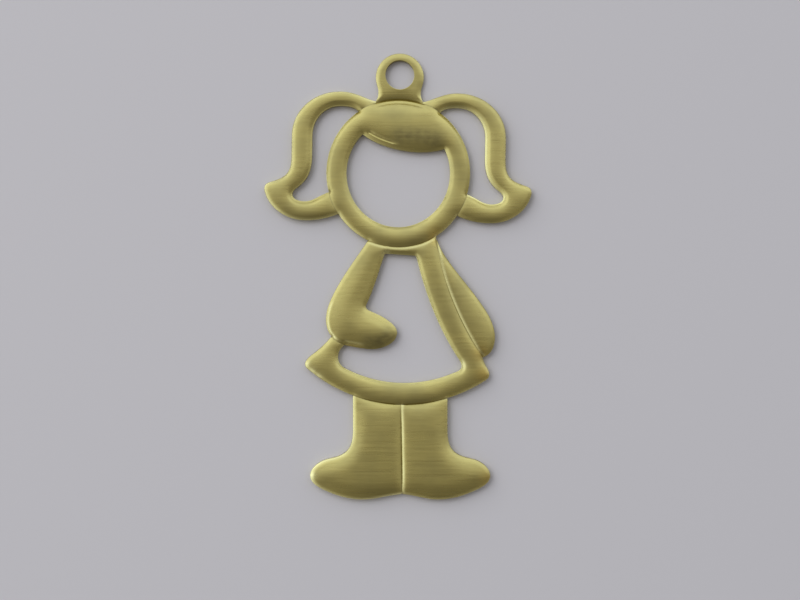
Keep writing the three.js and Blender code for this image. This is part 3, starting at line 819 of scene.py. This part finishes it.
def noise(tree, pattern):
    """The noise of one pattern."""
    place = node_of(tree, "ShaderNodeTexCoord")
    stretch = node_of(tree, "ShaderNodeMapping", inputs={"Scale": pattern.per_metre})
    patches = node_of(tree, "ShaderNodeTexNoise", inputs={"Scale": 1.0, "Detail": pattern.detail})
    tree.links.new(place.outputs["Object"], stretch.inputs["Vector"])
    tree.links.new(stretch.outputs["Vector"], patches.inputs["Vector"])
    return mapped(tree, patches.outputs["Fac"], pattern.low, pattern.high, pattern.least, pattern.most)


def effect(name, inputs, outputs):
    """An empty node group with its named values, and the sockets inside it."""
    tree = bpy.data.node_groups.new(name, "ShaderNodeTree")
    for label in inputs:
        tree.interface.new_socket(label, in_out="INPUT", socket_type="NodeSocketFloat")
    for label in outputs:
        tree.interface.new_socket(label, in_out="OUTPUT", socket_type="NodeSocketFloat")
    return tree, tree.nodes.new("NodeGroupInput").outputs, tree.nodes.new("NodeGroupOutput").inputs


def brushing():
    """Fine brush strokes across the figure. The surface has scratches as well as the streaks."""
    tree, given, made = effect("brushing", ["Strength"], ["Streaks", "Height"])
    streaks = noise(tree, STREAKS)
    tree.links.new(calculate(tree, "MULTIPLY", streaks, given["Strength"]), made["Streaks"])
    both = calculate(tree, "ADD", streaks, noise(tree, SCRATCHES))
    tree.links.new(calculate(tree, "MULTIPLY", both, given["Strength"]), made["Height"])
    return tree


def tarnishing_and_shading():
    """Brown dullness: tarnish in the struck lines, painted shade under the fringe and the hand, and soft
    patches elsewhere.
    """
    tree, given, made = effect("tarnish_and_shade", ["Recess", "Amount"], ["Mask"])
    deep = calculate(tree, "MULTIPLY", given["Recess"], noise(tree, CRUMBS))
    anywhere = calculate(tree, "MAXIMUM", deep, noise(tree, PATCHES))
    tree.links.new(calculate(tree, "MULTIPLY", anywhere, given["Amount"]), made["Mask"])
    return tree


def edge_wear_and_sheen():
    """Where the edges are made bright: rubbed by handling, and painted highlights."""
    tree, given, made = effect("edge wear", ["Edge", "Amount"], ["Mask"])
    uneven = calculate(tree, "MULTIPLY", given["Edge"], noise(tree, RUB_AND_SHEEN_NOISE))
    tree.links.new(calculate(tree, "MULTIPLY", uneven, given["Amount"]), made["Mask"])
    return tree


def placed(tree, group, **values):
    """An effect placed in a material, with its values given by name."""
    node = node_of(tree, "ShaderNodeGroup", node_tree=group)
    for label, value in values.items():
        feed(tree, node.inputs[label], value)
    return node.outputs


def mark(tree, name):
    """What the mesh says of its own surface under a name."""
    told = node_of(tree, "ShaderNodeAttribute", attribute_type="GEOMETRY", attribute_name=name)
    return told.outputs["Fac"]


# One finish of the brass: its colour, how rough it is, and how strongly it is brushed, dulled with its
# painted shade, and worn with its painted highlights. The front is brushed, the back is not, and the
# walls are as the shears left them.
Finish = collections.namedtuple("Finish", "tint roughness brushed dulled worn")
FINISHES = {
    "brushed brass": Finish((0.515, 0.437, 0.15), 0.28, 0.6, 0.6, 1.0),
    "unbrushed brass": Finish((0.42, 0.35, 0.12), 0.48, 0.2, 0.8, 0.5),
    "sheared brass": Finish((0.47, 0.4, 0.13), 0.38, 0.2, 0.4, 0.9),
}
# BROWN is the tarnish colour, and also the painted shade under the fringe and the hand
BROWN = (0.2, 0.17, 0.075, 1)
# PALE is worn brass, and also the colour of the painted highlights
PALE = (0.85, 0.79, 0.37, 1)
WARM = (0.62, 0.42, 0.09, 1)
WARM_SHARE = 0.5
BRUSH_RELIEF = 0.000004
STREAK_SHADES = (0.9, 1.1)  # the streaks carry the colour from this share of it to this one
STREAK_ROUGHNESS = 0.05  # what streaks, dullness with its painted shade, and wear with its painted highlights add to the roughness
DULL_ROUGHNESS = 0.12
WORN_ROUGHNESS = -0.06


def brass(name, finish, effects):
    """Raw brass: brushed, dulled in its struck lines and with painted shade under the fringe and the hand,
    and worn bright on its edges, partly as painted highlights.
    """
    material = bpy.data.materials.new(name)
    material.use_nodes = True
    tree = material.node_tree
    shader = tree.nodes["Principled BSDF"]
    shader.inputs["Metallic"].default_value = 1
    strokes = placed(tree, effects["brushing"], Strength=finish.brushed)
    dull_and_shade = placed(tree, effects["tarnish_and_shade"], Recess=mark(tree, "tarnish_and_shade"), Amount=finish.dulled)["Mask"]
    worn = placed(tree, effects["edge wear"], Edge=mark(tree, "wear_and_sheen"), Amount=finish.worn)["Mask"]
    warm = calculate(tree, "MULTIPLY", mark(tree, "warmth"), WARM_SHARE)
    ground = mixed(tree, warm, (*finish.tint, 1), WARM)
    # the brown carries the painted shade, and the pale colour the painted highlights
    colour = mixed(tree, worn, mixed(tree, dull_and_shade, ground, BROWN), PALE)
    streaked = node_of(tree, "ShaderNodeVectorMath", operation="SCALE")
    tree.links.new(colour, streaked.inputs[0])
    shade = mapped(tree, strokes["Streaks"], -1, 1, *STREAK_SHADES)
    tree.links.new(shade, streaked.inputs["Scale"])
    tree.links.new(streaked.outputs[0], shader.inputs["Base Color"])
    streaky = calculate(tree, "MULTIPLY_ADD", strokes["Streaks"], STREAK_ROUGHNESS, finish.roughness)
    dulled = calculate(tree, "MULTIPLY_ADD", dull_and_shade, DULL_ROUGHNESS, streaky)
    polished = calculate(tree, "MULTIPLY_ADD", worn, WORN_ROUGHNESS, dulled)
    tree.links.new(polished, shader.inputs["Roughness"])
    relief = node_of(tree, "ShaderNodeBump", inputs={"Distance": BRUSH_RELIEF})
    tree.links.new(strokes["Height"], relief.inputs["Height"])
    tree.links.new(relief.outputs["Normal"], shader.inputs["Normal"])
    return material


# The stage
FLOOR_SIDE = 1.0
FLOOR_DEPTH = 0.00002  # it lies this little under the pendant, so that the two never share a plane
FLOOR_COLOUR = (0.53, 0.507, 0.51, 1)
FLOOR_ROUGHNESS = 0.9


def pale_floor():
    """The pale surface that the pendant lies on."""
    half = FLOOR_SIDE / 2
    mesh = bpy.data.meshes.new("pale_surface")
    corners = [(-half, -half, 0), (half, -half, 0), (half, half, 0), (-half, half, 0)]
    mesh.from_pydata(corners, [], [(0, 1, 2, 3)])
    floor = bpy.data.objects.new("pale_surface", mesh)
    floor.location.z = -FLOOR_DEPTH
    bpy.context.scene.collection.objects.link(floor)
    material = bpy.data.materials.new("pale paper")
    material.use_nodes = True
    shader = material.node_tree.nodes["Principled BSDF"]
    shader.inputs["Base Color"].default_value = FLOOR_COLOUR
    shader.inputs["Roughness"].default_value = FLOOR_ROUGHNESS
    mesh.materials.append(material)


def curve(tree, value, stops):
    """A smooth curve through stops, each a value and what it becomes."""
    low, high = stops[0][0], stops[-1][0]
    most = max(level for _, level in stops)
    share = node_of(tree, "ShaderNodeMapRange", inputs={"From Min": low, "From Max": high})
    tree.links.new(value, share.inputs["Value"])
    ramp = node_of(tree, "ShaderNodeValToRGB")
    ramp.color_ramp.interpolation = "CARDINAL"
    handles = ramp.color_ramp.elements
    while len(handles) < len(stops):
        handles.new(0.5)
    for handle, (place, level) in zip(handles, stops):
        handle.position = (place - low) / (high - low)
        handle.color = (level / most,) * 3 + (1,)
    tree.links.new(share.outputs["Result"], ramp.inputs["Fac"])
    scaled = node_of(tree, "ShaderNodeMath", operation="MULTIPLY")
    scaled.inputs[1].default_value = most
    tree.links.new(ramp.outputs["Color"], scaled.inputs[0])
    return scaled.outputs[0]


# How bright the room looks in metal that faces each way. Along Y it goes from the dark room below
# the boots, over the dim ceiling, to the bright wall beyond the loop. Along X the window on the
# left adds to that, and so does the wall on the right, a little.
ROOM_ALONG_Y = ((-0.7, 0.2), (-0.2, 0.25), (0, 0.51), (0.3, 1.1), (0.7, 1.2))
ROOM_ALONG_X = ((-0.7, 1.2), (-0.3, 0.35), (0, 0), (0.3, 0.1), (0.7, 0.06))
ROOM_BRIGHTEST = 1.4
ROOM_ROUNDING = 0.6  # how softly the room levels off at its brightest
DIM_LIGHT = (1.03, 0.985, 0.92, 1)  # the dim side of the room is warm, and the bright side cool
BRIGHT_LIGHT = (0.96, 1.035, 1.18, 1)
DIM_LEVEL = 0.3  # the light is at its warmest up to this level, and at its coolest from the next
BRIGHT_LEVEL = 1.1
BACKDROP = (0.5, 0.5, 0.5, 1)
SOFT_SHARE = 0.75  # how much of the room's light the pale surface gets beside the window's own


def room():
    """Soft light all round: bright on the left and beyond the top, dim overhead, dark below."""
    world = bpy.data.worlds.new("room")
    bpy.context.scene.world = world
    world.use_nodes = True
    tree = world.node_tree
    place = node_of(tree, "ShaderNodeTexCoord")
    raised = node_of(tree, "ShaderNodeVectorMath", operation="ADD")
    raised.inputs[1].default_value = (0, 0, 1)
    facing = node_of(tree, "ShaderNodeVectorMath", operation="NORMALIZE")
    axes = node_of(tree, "ShaderNodeSeparateXYZ")
    tree.links.new(place.outputs["Generated"], raised.inputs[0])
    tree.links.new(raised.outputs[0], facing.inputs[0])
    tree.links.new(facing.outputs[0], axes.inputs[0])
    along_y = curve(tree, axes.outputs["Y"], ROOM_ALONG_Y)
    along_x = curve(tree, axes.outputs["X"], ROOM_ALONG_X)
    both = calculate(tree, "ADD", along_y, along_x)
    level = calculate(tree, "SMOOTH_MIN", both, ROOM_BRIGHTEST, ROOM_ROUNDING)
    path = node_of(tree, "ShaderNodeLightPath")
    share = mapped(tree, path.outputs["Is Diffuse Ray"], 0, 1, 1, SOFT_SHARE)
    coolness = mapped(tree, level, DIM_LEVEL, BRIGHT_LEVEL, 0, 1)
    light = node_of(tree, "ShaderNodeVectorMath", operation="SCALE")
    tree.links.new(mixed(tree, coolness, DIM_LIGHT, BRIGHT_LIGHT), light.inputs[0])
    tree.links.new(calculate(tree, "MULTIPLY", level, share), light.inputs["Scale"])
    shown = mixed(tree, path.outputs["Is Camera Ray"], light.outputs[0], BACKDROP)
    background = tree.nodes["Background"]
    background.inputs["Strength"].default_value = 1
    tree.links.new(shown, background.inputs["Color"])


# The window: a square of soft light, left of the pendant and beyond its loop
WINDOW_PLACE = (-0.42, 0.35, 0.4)
WINDOW_SIDE = 0.6
WINDOW_POWER = 3.0


def window():
    """The light of the window, which faces the pendant and casts its soft shadow."""
    light = bpy.data.lights.new("window", "AREA")
    light.shape = "SQUARE"
    light.size = WINDOW_SIDE
    light.energy = WINDOW_POWER
    holder = bpy.data.objects.new("window", light)
    holder.visible_glossy = False  # the metal shows the room's own window instead
    holder.location = WINDOW_PLACE
    holder.rotation_euler = (-Vector(WINDOW_PLACE)).to_track_quat("-Z", "Y").to_euler()
    bpy.context.scene.collection.objects.link(holder)


# The photographed view: straight down from close by, 73.2 mm wide at the top of the sheet, with
# the pendant left of and above its middle
VIEW_WIDTH = 0.0732
VIEW_DISTANCE = 0.11
VIEW_CENTRE = (0.00019, -0.00217)
SENSOR_WIDTH = 36


def camera():
    """A camera in the place that the photograph was taken from."""
    lens = bpy.data.cameras.new("camera")
    lens.sensor_width = SENSOR_WIDTH
    lens.lens = SENSOR_WIDTH * (VIEW_DISTANCE - SHEET * MM) / VIEW_WIDTH
    lens.clip_start = 0.005
    lens.clip_end = 10
    holder = bpy.data.objects.new("camera", lens)
    holder.location = (*VIEW_CENTRE, VIEW_DISTANCE)
    bpy.context.scene.collection.objects.link(holder)
    bpy.context.scene.camera = holder


camera()
outlines = trace_outlines()
borders = gathered(outlines)
effects = {"brushing": brushing(), "tarnish_and_shade": tarnishing_and_shading(), "edge wear": edge_wear_and_sheen()}
finishes = [brass(name, finish, effects) for name, finish in FINISHES.items()]
for name in ZONES:
    piece = zone_piece(name, outlines[name], borders)
    for finish in finishes:
        piece.data.materials.append(finish)
    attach(piece, "root")
    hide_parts(name)

pale_floor()
room()
window()
bpy.context.scene.view_settings.view_transform = "Standard"
